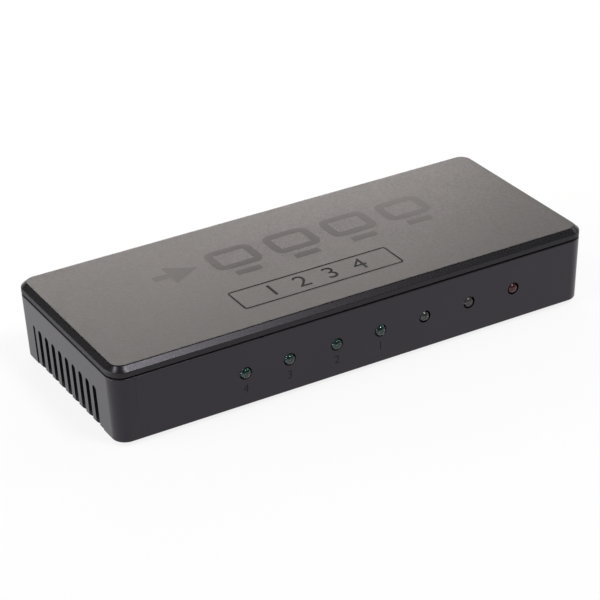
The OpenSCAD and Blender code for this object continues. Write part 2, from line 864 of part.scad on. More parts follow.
module lamp_leads() {
    color(tin)
        for (i = [0 : len(LAMPS) - 1])
            for (sx = [-1, 1])
                translate([lamp_x(i) + sx * lead_spread - lead_t / 2, 0, 0]) {
                    back = lamp_tip_y(i) + lamp_len;
                    translate([0, back, lamp_z - lead_t / 2])
                        cube([lead_t, lamp_tail_y + lead_t / 2 - back, lead_t]);
                    translate([0, lamp_tail_y - lead_t / 2, z_board - tail_len])
                        cube([lead_t, lead_t, lamp_z + lead_t / 2 - z_board + tail_len]);
                }
}

// Parts on the board

module splitter_chip() {
    color(chip_black)
        box_on_deck(chip_at, chip_size);
}

module splitter_chip_pins() {
    color(tin)
        translate([chip_at.x, chip_at.y, z_deck])
            for (side = [0 : 3])
                rotate(90 * side)
                    for (i = [0 : chip_pins_per_side - 1])
                        translate([(i - (chip_pins_per_side - 1) / 2) * chip_pin_pitch,
                                   (side % 2 == 0 ? chip_size.y : chip_size.x) / 2, 0])
                            gull_pin(chip_pin);
}

module thermal_pad() {
    color(pad_grey)
        translate([0, 0, chip_size.z])
            box_on_deck(chip_at, [chip_size.x - 2 * pad_margin, chip_size.y - 2 * pad_margin, pad_t]);
}

module heat_sink() {
    fin_step = (sink_l - fin_t) / (fin_count - 1);
    color(aluminium)
        translate([0, 0, chip_size.z + pad_t]) {
            box_on_deck(chip_at, [sink_l, sink_l, sink_base]);
            for (i = [0 : fin_count - 1])
                box_on_deck(
                    chip_at + [i * fin_step - (sink_l - fin_t) / 2, 0],
                    [fin_t, sink_l, sink_h]);
        }
}

module crystal() {
    w = crystal_size.x / 2;
    l = crystal_size.y / 2;
    color(aluminium)
        translate([crystal_at.x, crystal_at.y, z_deck])
            linear_extrude(crystal_size.z)
                polygon(rounded(
                    [[-w, -l], [w, -l], [w, l], [-w, l]],
                    [crystal_r, crystal_r, crystal_r, crystal_r]));
}

module memory_chips() {
    color(chip_black)
        for (i = [0 : len(SOCKETS) - 1])
            box_on_deck([socket_x(i) + memory_shift, memory_y], memory_size);
}

module memory_chip_pins() {
    color(tin)
        for (i = [0 : len(SOCKETS) - 1])
            translate([socket_x(i) + memory_shift, memory_y, z_deck])
                for (turn = [0, 180])
                    rotate(turn)
                        for (k = [0 : memory_pins_per_side - 1])
                            translate([(k - (memory_pins_per_side - 1) / 2) * memory_pin_pitch,
                                       memory_size.y / 2, 0])
                                gull_pin(memory_pin);
}

module regulators() {
    color(chip_black)
        for (y = [supply_row(0), supply_row(1)])
            box_on_deck([regulator_x, y], regulator_size);
}

module regulator_leads() {
    color(tin)
        for (y = [supply_row(0), supply_row(1)])
            translate([regulator_x, y, z_deck]) {
                for (k = [-1 : 1])
                    translate([k * regulator_pitch, -regulator_size.y / 2, 0])
                        rotate(180)
                            gull_pin(regulator_pin);
                translate([0, regulator_size.y / 2, 0])
                    gull_pin(regulator_tab);
            }
}

module capacitor_bases() {
    w = can_base.x / 2;
    l = can_base.y / 2;
    c = can_corner;
    color(insulator_black)
        for (y = [supply_row(0), supply_row(1)])
            translate([can_x, y, z_deck])
                linear_extrude(can_base.z)
                    polygon([[-w, -l], [w - c, -l], [w, c - l], [w, l - c], [w - c, l], [-w, l]]);
}

module capacitor_cans() {
    color(aluminium)
        for (y = [supply_row(0), supply_row(1)])
            translate([can_x, y, z_deck + can_base.z])
                rotate_extrude()
                    polygon(rounded(
                        [[0, 0], [can_r, 0], [can_r, can_h], [0, can_h]],
                        [0, 0, can_edge_r, 0]));
}

module power_inductor() {
    w = inductor_size.x / 2;
    l = inductor_size.y / 2;
    color(ferrite_grey)
        translate([inductor_at.x, inductor_at.y, z_deck])
            linear_extrude(inductor_size.z)
                polygon(rounded(
                    [[-w, -l], [w, -l], [w, l], [-w, l]],
                    [inductor_corner, inductor_corner, inductor_corner, inductor_corner]));
}

module input_fuse() {
    color(fuse_green)
        box_on_deck(fuse_at, fuse_size);
}

module input_diode() {
    color(chip_black)
        box_on_deck(diode_at, diode_size);
}

module lamp_resistors() {
    color(chip_black)
        for (i = [0 : len(LAMPS) - 1])
            box_on_deck([lamp_x(i), resistor_y], resistor_size);
}

module bypass_capacitors() {
    color(ceramic_brown)
        for (k = [-1, 1]) {
            box_on_deck(chip_at + [k * bypass_spread, -bypass_out.y], bypass_size);
            for (sx = [-1, 1])
                box_on_deck(chip_at + [sx * bypass_out.x, k * bypass_spread], bypass_size);
        }
}

module surge_arrays() {
    color(chip_black)
        for (i = [0 : len(SOCKETS) - 1])
            for (sx = [-1, 1])
                box_on_deck([socket_x(i) + sx * surge_shift, surge_y], surge_size);
}

// Drawing

bottom_shell();
top_cover();
rubber_feet();
case_screws();
board_screws();
main_board();
for (i = [0 : len(SOCKETS) - 1]) {
    at_socket(i) socket_shell();
    at_socket(i) socket_insert();
    at_socket(i) socket_contacts();
}
dc_jack_body();
dc_jack_pin();
dc_jack_spring();
for (i = [0 : len(LAMPS) - 1])
    lamp_lens(i);
lamp_leads();
splitter_chip();
splitter_chip_pins();
thermal_pad();
heat_sink();
crystal();
memory_chips();
memory_chip_pins();
regulators();
regulator_leads();
capacitor_bases();
capacitor_cans();
power_inductor();
input_fuse();
input_diode();
lamp_resistors();
bypass_capacitors();
surge_arrays();
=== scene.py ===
"""Finishes a video splitter box: moulded case, stamped sockets, lamps, board and printed marks."""

import math
from contextlib import contextmanager

import bpy
from bpy.props import FloatProperty, FloatVectorProperty, PointerProperty
from mathutils import Matrix, Vector


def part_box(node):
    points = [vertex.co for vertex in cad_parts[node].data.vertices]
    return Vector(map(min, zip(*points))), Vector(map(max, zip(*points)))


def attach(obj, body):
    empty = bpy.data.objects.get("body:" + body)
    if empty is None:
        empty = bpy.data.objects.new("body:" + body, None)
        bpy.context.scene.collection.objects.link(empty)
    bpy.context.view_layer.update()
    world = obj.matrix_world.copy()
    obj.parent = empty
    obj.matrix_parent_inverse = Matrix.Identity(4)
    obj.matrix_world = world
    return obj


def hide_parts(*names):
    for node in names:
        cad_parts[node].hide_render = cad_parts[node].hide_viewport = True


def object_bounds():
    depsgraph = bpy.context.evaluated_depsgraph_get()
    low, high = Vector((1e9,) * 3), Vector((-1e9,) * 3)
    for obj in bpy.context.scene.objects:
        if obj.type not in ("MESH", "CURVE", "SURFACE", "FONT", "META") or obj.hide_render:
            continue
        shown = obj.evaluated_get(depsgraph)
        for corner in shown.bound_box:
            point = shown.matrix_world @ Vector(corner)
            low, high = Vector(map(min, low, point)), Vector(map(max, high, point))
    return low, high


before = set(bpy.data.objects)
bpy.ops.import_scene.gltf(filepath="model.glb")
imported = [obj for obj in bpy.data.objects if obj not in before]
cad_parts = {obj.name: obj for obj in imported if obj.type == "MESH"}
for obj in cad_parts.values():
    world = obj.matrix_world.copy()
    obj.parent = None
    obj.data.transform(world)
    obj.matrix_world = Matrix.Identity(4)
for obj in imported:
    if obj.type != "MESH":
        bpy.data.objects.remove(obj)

bl_info = {
    "name": "Video Splitter Box",
    "version": (1, 0, 0),
    "blender": (4, 5, 0),
    "location": "View3D > Sidebar > Splitter",
    "description": "Finishes the case, sockets, lamps, board and marks of a video splitter box",
    "category": "Object",
}

MM = 0.001
BODY = "splitter"
SPRING_BODY = "jack_spring"

# Names of the repeated pieces, from the left end of the case to the right
SOCKETS = ("video_out_4", "video_out_3", "video_out_2", "video_out_1", "video_in")
GREEN_LAMPS = ("lamp_out_4", "lamp_out_3", "lamp_out_2", "lamp_out_1")
DEEP_LAMPS = ("lamp_in", "lamp_link", "lamp_power")

# Boxes of the whole part and of the case's halves, the groove between them and the lower walls' lean
CAD_LOW, CAD_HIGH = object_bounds()
SHELL_LOW, SHELL_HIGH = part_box("bottom_shell")
_, COVER_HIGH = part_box("top_cover")
SEAM_GAP = 0.4 * MM
DRAFT = 0.65 * MM
SEAM_Z = SHELL_HIGH.z - SEAM_GAP
WALL_LEAN = math.atan(DRAFT / (SEAM_Z - SHELL_LOW.z))

# Tolerances of the mesh work
WELD = 0.001 * MM
FLAT_ANGLE = math.radians(0.5)
SHARP_ANGLE = math.radians(38)
# How near the cover's highest level a face counts as its flat top
TOP_REACH = 0.4 * MM
# A face looks along an axis if its normal has this share along it, and is upright below the other share
FACING = 0.98
UPRIGHT = 0.2


# Mesh work


def select_only(*pieces):
    """Selects these pieces alone and makes the first one active."""
    bpy.ops.object.select_all(action="DESELECT")
    for piece in pieces:
        piece.select_set(True)
    bpy.context.view_layer.objects.active = pieces[0]


@contextmanager
def editing():
    """Edit mode on the active piece, with all of it selected."""
    bpy.ops.object.mode_set(mode="EDIT")
    bpy.ops.mesh.select_all(action="SELECT")
    yield
    bpy.ops.object.mode_set(mode="OBJECT")


def apply_modifier(piece, kind, **settings):
    """Adds one modifier with these settings and applies it."""
    select_only(piece)
    modifier = piece.modifiers.new(kind.lower(), kind)
    for key, value in settings.items():
        setattr(modifier, key, value)
    bpy.ops.object.modifier_apply(modifier=modifier.name)


def merged_copy(node):
    """A copy of a frame node with its triangles welded and its flat faces joined."""
    piece = bpy.data.objects.new(node + "_finished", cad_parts[node].data.copy())
    bpy.context.scene.collection.objects.link(piece)
    select_only(piece)
    piece.data.materials.clear()
    bpy.ops.mesh.customdata_custom_splitnormals_clear()
    with editing():
        bpy.ops.mesh.remove_doubles(threshold=WELD)
        bpy.ops.mesh.dissolve_limited(angle_limit=FLAT_ANGLE)
    return piece


def round_edges(piece, width, segments):
    """Rounds the sharp edges of a piece by a small amount."""
    apply_modifier(piece, "BEVEL", width=width, segments=segments, limit_method="ANGLE",
                   angle_limit=SHARP_ANGLE, use_clamp_overlap=True)


def smooth(piece):
    """Shades a piece smooth up to its sharp edges, and keeps its large flat faces flat."""
    select_only(piece)
    bpy.ops.object.shade_smooth_by_angle(angle=SHARP_ANGLE)
    apply_modifier(piece, "WEIGHTED_NORMAL", keep_sharp=True, weight=100)


def dress(piece, material, body=BODY, node=None):
    """Gives a finished piece its material and body, and hides the node that it stands for."""
    piece.data.materials.clear()
    piece.data.materials.append(material)
    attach(piece, body)
    if node:
        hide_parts(node)
    return piece


def finish_node(node, material, edge, segments=2, body=BODY):
    """Stands a welded and softened copy in for a frame node."""
    piece = merged_copy(node)
    round_edges(piece, edge, segments)
    smooth(piece)
    return dress(piece, material, body=body, node=node)


# Shader work


def add_node(tree, kind, inputs=None, **settings):
    """Adds a shader node with these settings and input values."""
    node = tree.nodes.new(kind)
    for key, value in settings.items():
        setattr(node, key, value)
    for key, value in (inputs or {}).items():
        node.inputs[key].default_value = value
    return node


def new_group(name, inputs, outputs):
    """A shader node group with these number inputs and value outputs."""
    group = bpy.data.node_groups.new(name, "ShaderNodeTree")
    for label, default in inputs.items():
        socket = group.interface.new_socket(label, in_out="INPUT", socket_type="NodeSocketFloat")
        socket.default_value = default
    for label in outputs:
        group.interface.new_socket(label, in_out="OUTPUT", socket_type="NodeSocketFloat")
    return group, group.nodes.new("NodeGroupInput"), group.nodes.new("NodeGroupOutput")


def shared_group(name, build):
    """The shared group of that name, built once."""
    return bpy.data.node_groups.get(name) or build(name)


def build_moulded_grain(name):
    """Fine spark texture of a mould, with a slow mottle over it."""
    group, given, out = new_group(name, {"Fineness": 4000.0, "Mottle Scale": 60.0}, ("Height", "Mottle"))
    place = add_node(group, "ShaderNodeTexCoord")
    grain = add_node(group, "ShaderNodeTexNoise", {"Detail": 3.0, "Roughness": 0.6})
    mottle = add_node(group, "ShaderNodeTexNoise", {"Detail": 4.0, "Roughness": 0.55})
    for noise, scale, label in ((grain, "Fineness", "Height"), (mottle, "Mottle Scale", "Mottle")):
        group.links.new(place.outputs["Object"], noise.inputs["Vector"])
        group.links.new(given.outputs[scale], noise.inputs["Scale"])
        group.links.new(noise.outputs["Fac"], out.inputs[label])
    return group


def build_settled_dust(name):
    """Sparse specks of dust: small spots in a few cells of a random net."""
    group, given, out = new_group(name, {"Density": 500.0, "Share": 0.1, "Size": 0.1}, ("Mask",))
    place = add_node(group, "ShaderNodeTexCoord")
    cells = add_node(group, "ShaderNodeTexVoronoi", {"Randomness": 1.0})
    parts = add_node(group, "ShaderNodeSeparateColor")
    chosen = add_node(group, "ShaderNodeMath", operation="LESS_THAN")
    near = add_node(group, "ShaderNodeMath", operation="LESS_THAN")
    both = add_node(group, "ShaderNodeMath", operation="MULTIPLY")
    group.links.new(place.outputs["Object"], cells.inputs["Vector"])
    group.links.new(given.outputs["Density"], cells.inputs["Scale"])
    group.links.new(cells.outputs["Color"], parts.inputs["Color"])
    group.links.new(parts.outputs["Red"], chosen.inputs[0])
    group.links.new(given.outputs["Share"], chosen.inputs[1])
    group.links.new(cells.outputs["Distance"], near.inputs[0])
    group.links.new(given.outputs["Size"], near.inputs[1])
    group.links.new(chosen.outputs[0], both.inputs[0])
    group.links.new(near.outputs[0], both.inputs[1])
    group.links.new(both.outputs[0], out.inputs["Mask"])
    return group


def build_rolled_streaks(name):
    """Fine parallel streaks of rolled or drawn metal, along X."""
    group, given, out = new_group(name, {"Fineness": 9000.0, "Stretch": 0.03}, ("Streak", "Stain"))
    place = add_node(group, "ShaderNodeTexCoord")
    stretch = add_node(group, "ShaderNodeCombineXYZ", {"Y": 1.0, "Z": 1.0})
    squeeze = add_node(group, "ShaderNodeVectorMath", operation="MULTIPLY")
    streak = add_node(group, "ShaderNodeTexNoise", {"Detail": 2.0})
    stain = add_node(group, "ShaderNodeTexNoise", {"Scale": 300.0, "Detail": 4.0})
    group.links.new(given.outputs["Stretch"], stretch.inputs["X"])
    group.links.new(place.outputs["Object"], squeeze.inputs[0])
    group.links.new(stretch.outputs["Vector"], squeeze.inputs[1])
    group.links.new(squeeze.outputs["Vector"], streak.inputs["Vector"])
    group.links.new(given.outputs["Fineness"], streak.inputs["Scale"])
    group.links.new(streak.outputs["Fac"], out.inputs["Streak"])
    group.links.new(place.outputs["Object"], stain.inputs["Vector"])
    group.links.new(stain.outputs["Fac"], out.inputs["Stain"])
    return group


def place_group(tree, name, build, values):
    """Puts a shared group into a material with its own values."""
    node = tree.nodes.new("ShaderNodeGroup")
    node.node_tree = shared_group(name, build)
    for label, value in values.items():
        node.inputs[label].default_value = value
    return node


def new_material(name, **plain):
    """A material with one Principled shader; plain values go straight onto its sockets."""
    material = bpy.data.materials.new(name)
    material.use_nodes = True
    tree = material.node_tree
    shader = tree.nodes["Principled BSDF"]
    for label, value in plain.items():
        shader.inputs[label.replace("_", " ")].default_value = value
    return material, tree, shader


def shades(tint, low, high):
    """Two shades of a tint."""
    return [(*(channel * share for channel in tint[:3]), 1.0) for share in (low, high)]


# Most values of a noise lie between these
NOISE_LOW = 0.3
NOISE_HIGH = 0.7


def vary_colour(tree, value, low, high):
    """A colour that runs from low to high with a noise."""
    ramp = add_node(tree, "ShaderNodeValToRGB")
    ramp.color_ramp.elements[0].position = NOISE_LOW
    ramp.color_ramp.elements[1].position = NOISE_HIGH
    ramp.color_ramp.elements[0].color = low
    ramp.color_ramp.elements[1].color = high
    tree.links.new(value, ramp.inputs["Fac"])
    return ramp.outputs["Color"]


def vary_roughness(tree, shader, value, roughness, unevenness):
    """Lets a shader's roughness stray to both sides by a share of it, with a noise."""
    spread = add_node(tree, "ShaderNodeMapRange", {
        "From Min": NOISE_LOW, "From Max": NOISE_HIGH,
        "To Min": roughness * (1 - unevenness), "To Max": roughness * (1 + unevenness)})
    tree.links.new(value, spread.inputs["Value"])
    tree.links.new(spread.outputs["Result"], shader.inputs["Roughness"])


def blend_colour(tree, mask, under, over):
    """Lays a plain colour over another one where the mask is on."""
    mix = add_node(tree, "ShaderNodeMixRGB", {"Color2": over})
    tree.links.new(mask, mix.inputs["Fac"])
    tree.links.new(under, mix.inputs["Color1"])
    return mix.outputs["Color"]


def raise_grain(tree, shader, height, depth):
    """Bumps the surface by a height of this depth."""
    bump = add_node(tree, "ShaderNodeBump", {"Strength": 1.0, "Distance": depth})
    tree.links.new(height, bump.inputs["Height"])
    tree.links.new(bump.outputs["Normal"], shader.inputs["Normal"])


# Tints of dust and of plain reflections
DUST_TINT = (0.05, 0.048, 0.046, 1.0)
NEUTRAL = (1.0, 1.0, 1.0, 1.0)
# Darkest and lightest share of a metal's tint and of an epoxy's, and how uneven their gloss is
STAIN_SHADES = (0.86, 1.06)
STREAK_UNEVENNESS = 0.25
HAZE_SHADES = (0.85, 1.15)
HAZE_UNEVENNESS = 0.3
EPOXY_IOR = 1.54
# Depth of a metal's streaks, and how far a copper track raises the board's mask
STREAK_DEPTH = 0.0004 * MM
TRACK_H = 0.02 * MM


def moulded_plastic(name, tint, roughness, depth, fineness=4000.0, dust=0.02, specular=0.5,
                    sheen_tint=NEUTRAL, unevenness=0.02, tone="Mottle", spread=0.08):
    """Moulded plastic: uneven tint, spark grain in its height and gloss, and a few specks of dust."""
    material, tree, shader = new_material(name, Specular_IOR_Level=specular, Specular_Tint=sheen_tint)
    grain = place_group(tree, "moulded_grain", build_moulded_grain, {"Fineness": fineness})
    specks = place_group(tree, "settled_dust", build_settled_dust, {"Share": dust})
    plain = vary_colour(tree, grain.outputs[tone], *shades(tint, 1 - spread, 1 + spread))
    dusty = blend_colour(tree, specks.outputs["Mask"], plain, DUST_TINT)
    tree.links.new(dusty, shader.inputs["Base Color"])
    vary_roughness(tree, shader, grain.outputs["Height"], roughness, unevenness)
    raise_grain(tree, shader, grain.outputs["Height"], depth)
    return material


def plated_metal(name, tint, roughness, stretch=0.03):
    """Rolled, drawn or plated metal: streaks in its gloss and faint stains in its tint."""
    material, tree, shader = new_material(name, Metallic=1.0)
    rolled = place_group(tree, "rolled_streaks", build_rolled_streaks, {"Stretch": stretch})
    tone = vary_colour(tree, rolled.outputs["Stain"], *shades(tint, *STAIN_SHADES))
    tree.links.new(tone, shader.inputs["Base Color"])
    vary_roughness(tree, shader, rolled.outputs["Streak"], roughness, STREAK_UNEVENNESS)
    raise_grain(tree, shader, rolled.outputs["Streak"], STREAK_DEPTH)
    return material


def tinted_epoxy(name, tint, clearness, roughness, specular=0.5):
    """Cast lamp epoxy: tinted and a little hazy."""
    material, tree, shader = new_material(name, Transmission_Weight=clearness, IOR=EPOXY_IOR,
                                          Specular_IOR_Level=specular)
    haze = place_group(tree, "moulded_grain", build_moulded_grain,
                       {"Fineness": 900.0, "Mottle Scale": 500.0})
    tone = vary_colour(tree, haze.outputs["Mottle"], *shades(tint, *HAZE_SHADES))
    tree.links.new(tone, shader.inputs["Base Color"])
    vary_roughness(tree, shader, haze.outputs["Height"], roughness, HAZE_UNEVENNESS)
    return material


def masked_board(name, mask_tint, track_tint):
    """Green board: lighter copper tracks show through the glossy mask."""
    material, tree, shader = new_material(name, Coat_Weight=0.4)
    place = add_node(tree, "ShaderNodeTexCoord")
    tracks = add_node(tree, "ShaderNodeTexBrick",
                      {"Scale": 420.0, "Mortar Size": 0.06, "Color1": mask_tint, "Color2": mask_tint,
                       "Mortar": track_tint, "Brick Width": 1.3, "Row Height": 0.22})
    grain = place_group(tree, "moulded_grain", build_moulded_grain, {"Fineness": 2500.0})
    tree.links.new(place.outputs["Object"], tracks.inputs["Vector"])
    tree.links.new(tracks.outputs["Color"], shader.inputs["Base Color"])
    vary_roughness(tree, shader, grain.outputs["Mottle"], roughness=0.35, unevenness=0.2)
    raise_grain(tree, shader, tracks.outputs["Fac"], TRACK_H)
    return material


# Settings


def tint_property(name, description, default):
    """A colour."""
    return FloatVectorProperty(name=name, description=description, default=(*default, 1.0), size=4,
                               subtype="COLOR", min=0.0, max=1.0)


def length_property(name, description, default):
    """A length in metres."""
    return FloatProperty(name=name, description=description, default=default, unit="LENGTH", min=0.0)


def angle_property(name, description, default):
    """An angle, whose default is in degrees."""
    return FloatProperty(name=name, description=description, default=math.radians(default), subtype="ANGLE")


def share_property(name, description, default):
    """A share between nought and one."""
    return FloatProperty(name=name, description=description, default=default, min=0.0, max=1.0,
                         subtype="FACTOR")


class CaseSettings(bpy.types.PropertyGroup):
    """Finish of the two halves of the case."""

    shell_tint: tint_property("Shell tint", "Colour of the lower shell's plastic", (0.012, 0.0115, 0.013))
    top_tint: tint_property("Top tint", "Colour of the cover's satin top", (0.017, 0.0158, 0.0152))
    bevel_tint: tint_property("Bevel tint", "Colour of the cover's polished bevel", (0.007, 0.007, 0.0072))
    shell_sheen: tint_property("Shell sheen", "Colour of the lower shell's reflections", (0.66, 0.58, 0.71))
    bevel_sheen: tint_property("Bevel sheen", "Colour of reflections on bevel and band", (0.7, 0.65, 0.74))
    shell_roughness: share_property("Shell roughness", "Roughness of the lower shell", 0.3)
    top_roughness: share_property("Top roughness", "Roughness of the satin top", 0.46)
    bevel_roughness: share_property("Bevel roughness", "Roughness of the polished bevel", 0.28)
    band_roughness: share_property("Band roughness", "Roughness of the cover's upright band", 0.6)
    edge_round: length_property("Edge round", "Rounding of the slots' and holes' edges", 0.12 * MM)
    grain_depth: length_property("Grain depth", "Depth of the moulded spark texture", 0.006 * MM)


class PartSettings(bpy.types.PropertyGroup):
    """Finish of the sockets, jack, screws, feet and board parts."""

    nickel_tint: tint_property("Nickel tint", "Colour of the sockets' plated shells", (0.66, 0.64, 0.6))
    gold_tint: tint_property("Gold tint", "Colour of the contacts", (0.82, 0.6, 0.25))
    insulator_tint: tint_property("Insulator tint", "Colour of the black insulators", (0.012, 0.012, 0.012))
    jack_tint: tint_property("Jack tint", "Colour of the power jack's body", (0.014, 0.014, 0.014))
    pin_tint: tint_property("Pin tint", "Colour of the power jack's pin", (0.7, 0.69, 0.66))
    bronze_tint: tint_property("Bronze tint", "Colour of the power jack's spring", (0.6, 0.42, 0.2))
    rubber_tint: tint_property("Rubber tint", "Colour of the feet", (0.018, 0.018, 0.018))
    zinc_tint: tint_property("Zinc tint", "Colour of the screws", (0.5, 0.51, 0.53))
    tin_tint: tint_property("Tin tint", "Colour of the tinned leads", (0.6, 0.6, 0.6))
    board_tint: tint_property("Board tint", "Colour of the board's mask", (0.012, 0.09, 0.04))
    track_tint: tint_property("Track tint", "Colour of the copper tracks under the mask", (0.03, 0.2, 0.09))
    chip_tint: tint_property("Chip tint", "Colour of the chips' moulding", (0.016, 0.016, 0.017))
    sink_tint: tint_property("Sink tint", "Colour of the heat sink", (0.56, 0.57, 0.59))
    can_tint: tint_property("Can tint", "Colour of the crystal's and capacitors' cans", (0.68, 0.68, 0.7))
    pad_tint: tint_property("Pad tint", "Colour of the thermal pad", (0.35, 0.44, 0.52))
    ferrite_tint: tint_property("Ferrite tint", "Colour of the power inductor", (0.06, 0.06, 0.063))
    fuse_tint: tint_property("Fuse tint", "Colour of the input fuse", (0.03, 0.12, 0.05))
    ceramic_tint: tint_property("Ceramic tint", "Colour of the bypass capacitors", (0.36, 0.24, 0.14))
    sheet_edge: length_property("Sheet edge", "Rounding of the edges of stamped metal", 0.04 * MM)
    chip_edge: length_property("Chip edge", "Rounding of the edges of small moulded parts", 0.06 * MM)


class LampSettings(bpy.types.PropertyGroup):
    """Finish of the seven lamps and the metal cups inside them."""

    green_tint: tint_property("Green tint", "Colour of the four green lamps", (0.09, 0.31, 0.26))
    pale_tint: tint_property("Pale tint", "Colour of the pale green lamp", (0.4, 0.48, 0.45))
    clear_tint: tint_property("Clear tint", "Colour of the clear lamp", (0.5, 0.5, 0.51))
    red_tint: tint_property("Red tint", "Colour of the red lamp", (0.17, 0.014, 0.022))
    cup_tint: tint_property("Cup tint", "Colour of the reflector cups", (0.26, 0.27, 0.26))
    cup_r: length_property("Cup radius", "Radius of the reflector cup inside a lamp", 0.7 * MM)
    cup_depth: length_property("Cup depth", "Depth of the reflector cup", 0.4 * MM)
    cup_back: length_property("Cup setback", "Distance of the cup behind a lamp's tip", 1.8 * MM)


class MarkSettings(bpy.types.PropertyGroup):
    """Plain printed marks."""

    ink_tint: tint_property("Ink tint", "Colour of the glossy print", (0.008, 0.0078, 0.0082))
    ink_roughness: share_property("Ink roughness", "Roughness of the glossy print", 0.28)
    ink_t: length_property("Ink thickness", "How far the print stands above the surface", 0.015 * MM)
    lamp_numeral_h: length_property("Lamp numeral height", "Height of the lamps' numerals", 2.2 * MM)
    lamp_numeral_z: length_property("Lamp numeral level", "Their middle above the underside", 4.6 * MM)
    rear_numeral_h: length_property("Rear numeral height", "Height of the numerals behind", 1.8 * MM)
    rear_numeral_z: length_property("Rear numeral level", "Their middle above the underside", 14.4 * MM)
    stroke: length_property("Stroke", "Width of the pictogram's strokes", 2.2 * MM)
    arrow_l: length_property("Arrow length", "Length of the pictogram's arrow", 12.0 * MM)
    arrow_head: length_property("Arrow head", "Distance of the tip from the head's middle", 5.2 * MM)
    screen_w: length_property("Screen width", "Width of one of the pictogram's screens", 13.0 * MM)
    screen_h: length_property("Screen height", "Height of one of the pictogram's screens", 10.4 * MM)
    screen_gap: length_property("Screen gap", "Gap between the pictogram's signs", 3.5 * MM)
    foot_w: length_property("Foot width", "Width of the foot under a screen", 7.0 * MM)
    foot_gap: length_property("Foot gap", "Gap between a screen and its foot", 1.8 * MM)
    frame_w: length_property("Frame width", "Width of the framed row of numerals", 44.5 * MM)
    frame_h: length_property("Frame height", "Height of the framed row of numerals", 9.5 * MM)
    frame_line: length_property("Frame line", "Width of the frame's line", 0.5 * MM)
    corner: length_property("Corner", "Rounding of the signs' and the frame's corners", 0.4 * MM)
    top_numeral_h: length_property("Top numeral height", "Height of the framed numerals", 5.4 * MM)


class StageSettings(bpy.types.PropertyGroup):
    """Camera, floor and lights."""

    azimuth: angle_property("Azimuth", "Where the camera stands around the box", -29.317)
    elevation: angle_property("Elevation", "How far the camera looks down", 28.492)
    roll: angle_property("Roll", "Turn of the camera about its own axis", -1.922)
    distance: length_property("Distance", "How far the camera is from the underside", 547.327 * MM)
    aim_right: FloatProperty(name="Aim right", description="Sideways offset of the camera", unit="LENGTH",
                             default=-1.513 * MM)
    aim_up: FloatProperty(name="Aim up", description="Upward offset of the camera", unit="LENGTH",
                          default=5.98 * MM)
    lens: FloatProperty(name="Lens", description="Focal length on a 36 mm sensor", unit="CAMERA",
                        default=130.593, min=1.0)
    fill: share_property("Fill", "Strength of the even light from all around", 0.3)
    ceiling: share_property("Ceiling", "Brightness of the ceiling in reflections", 0.12)


# Pieces


# Depth of the top's and of the bevel's grain, as a share of the shell's
TOP_GRAIN = 4
BEVEL_GRAIN = 1 / 3


class SPLITTER_OT_finish_case(bpy.types.Operator):
    """Finish the lower shell and the cover"""

    bl_idname = "splitter.finish_case"
    bl_label = "Case"

    def execute(self, context):
        look = context.scene.splitter_case
        satin = moulded_plastic("satin_shell", look.shell_tint, look.shell_roughness, look.grain_depth,
                                sheen_tint=look.shell_sheen)
        finish_node("bottom_shell", satin, look.edge_round)
        top = moulded_plastic("spark_textured_top", look.top_tint, look.top_roughness,
                              look.grain_depth * TOP_GRAIN, fineness=2000.0, dust=0.01, unevenness=0.35,
                              tone="Height", spread=0.9)
        polished = moulded_plastic("polished_bevel", look.bevel_tint, look.bevel_roughness,
                                   look.grain_depth * BEVEL_GRAIN, fineness=2200.0, specular=0.4,
                                   sheen_tint=look.bevel_sheen, unevenness=0.1)
        band = moulded_plastic("satin_band", look.bevel_tint, look.band_roughness, depth=0.002 * MM,
                               sheen_tint=look.bevel_sheen)
        cover = finish_node("top_cover", polished, look.edge_round)
        cover.data.materials.append(top)
        cover.data.materials.append(band)
        # The bevel keeps the first material, the flat top takes the second and the band the third
        for face in cover.data.polygons:
            if face.normal.z > FACING and face.center.z > COVER_HIGH.z - TOP_REACH:
                face.material_index = 1
            elif abs(face.normal.z) < UPRIGHT:
                face.material_index = 2
        return {"FINISHED"}


class SPLITTER_OT_finish_hardware(bpy.types.Operator):
    """Finish the feet and the screws"""

    bl_idname = "splitter.finish_hardware"
    bl_label = "Feet and screws"

    def execute(self, context):
        look = context.scene.splitter_parts
        rubber = moulded_plastic("soft_rubber", look.rubber_tint, roughness=0.8, depth=0.02 * MM,
                                 fineness=1800.0, specular=0.3)
        finish_node("rubber_feet", rubber, look.chip_edge)
        zinc = plated_metal("zinc_plate", look.zinc_tint, roughness=0.38)
        for node in ("case_screws", "board_screws"):
            finish_node(node, zinc, look.sheet_edge)
        return {"FINISHED"}


class SPLITTER_OT_finish_sockets(bpy.types.Operator):
    """Finish the five video sockets"""

    bl_idname = "splitter.finish_sockets"
    bl_label = "Video sockets"

    def execute(self, context):
        look = context.scene.splitter_parts
        nickel = plated_metal("bright_nickel", look.nickel_tint, roughness=0.24)
        insulator = moulded_plastic("socket_insulator", look.insulator_tint, roughness=0.5, depth=0.004 * MM)
        gold = plated_metal("gold_flash", look.gold_tint, roughness=0.26)
        for name in SOCKETS:
            finish_node(name + "_shell", nickel, look.sheet_edge)
            finish_node(name + "_insert", insulator, look.sheet_edge)
            finish_node(name + "_contacts", gold, look.sheet_edge / 2, segments=1)
        return {"FINISHED"}


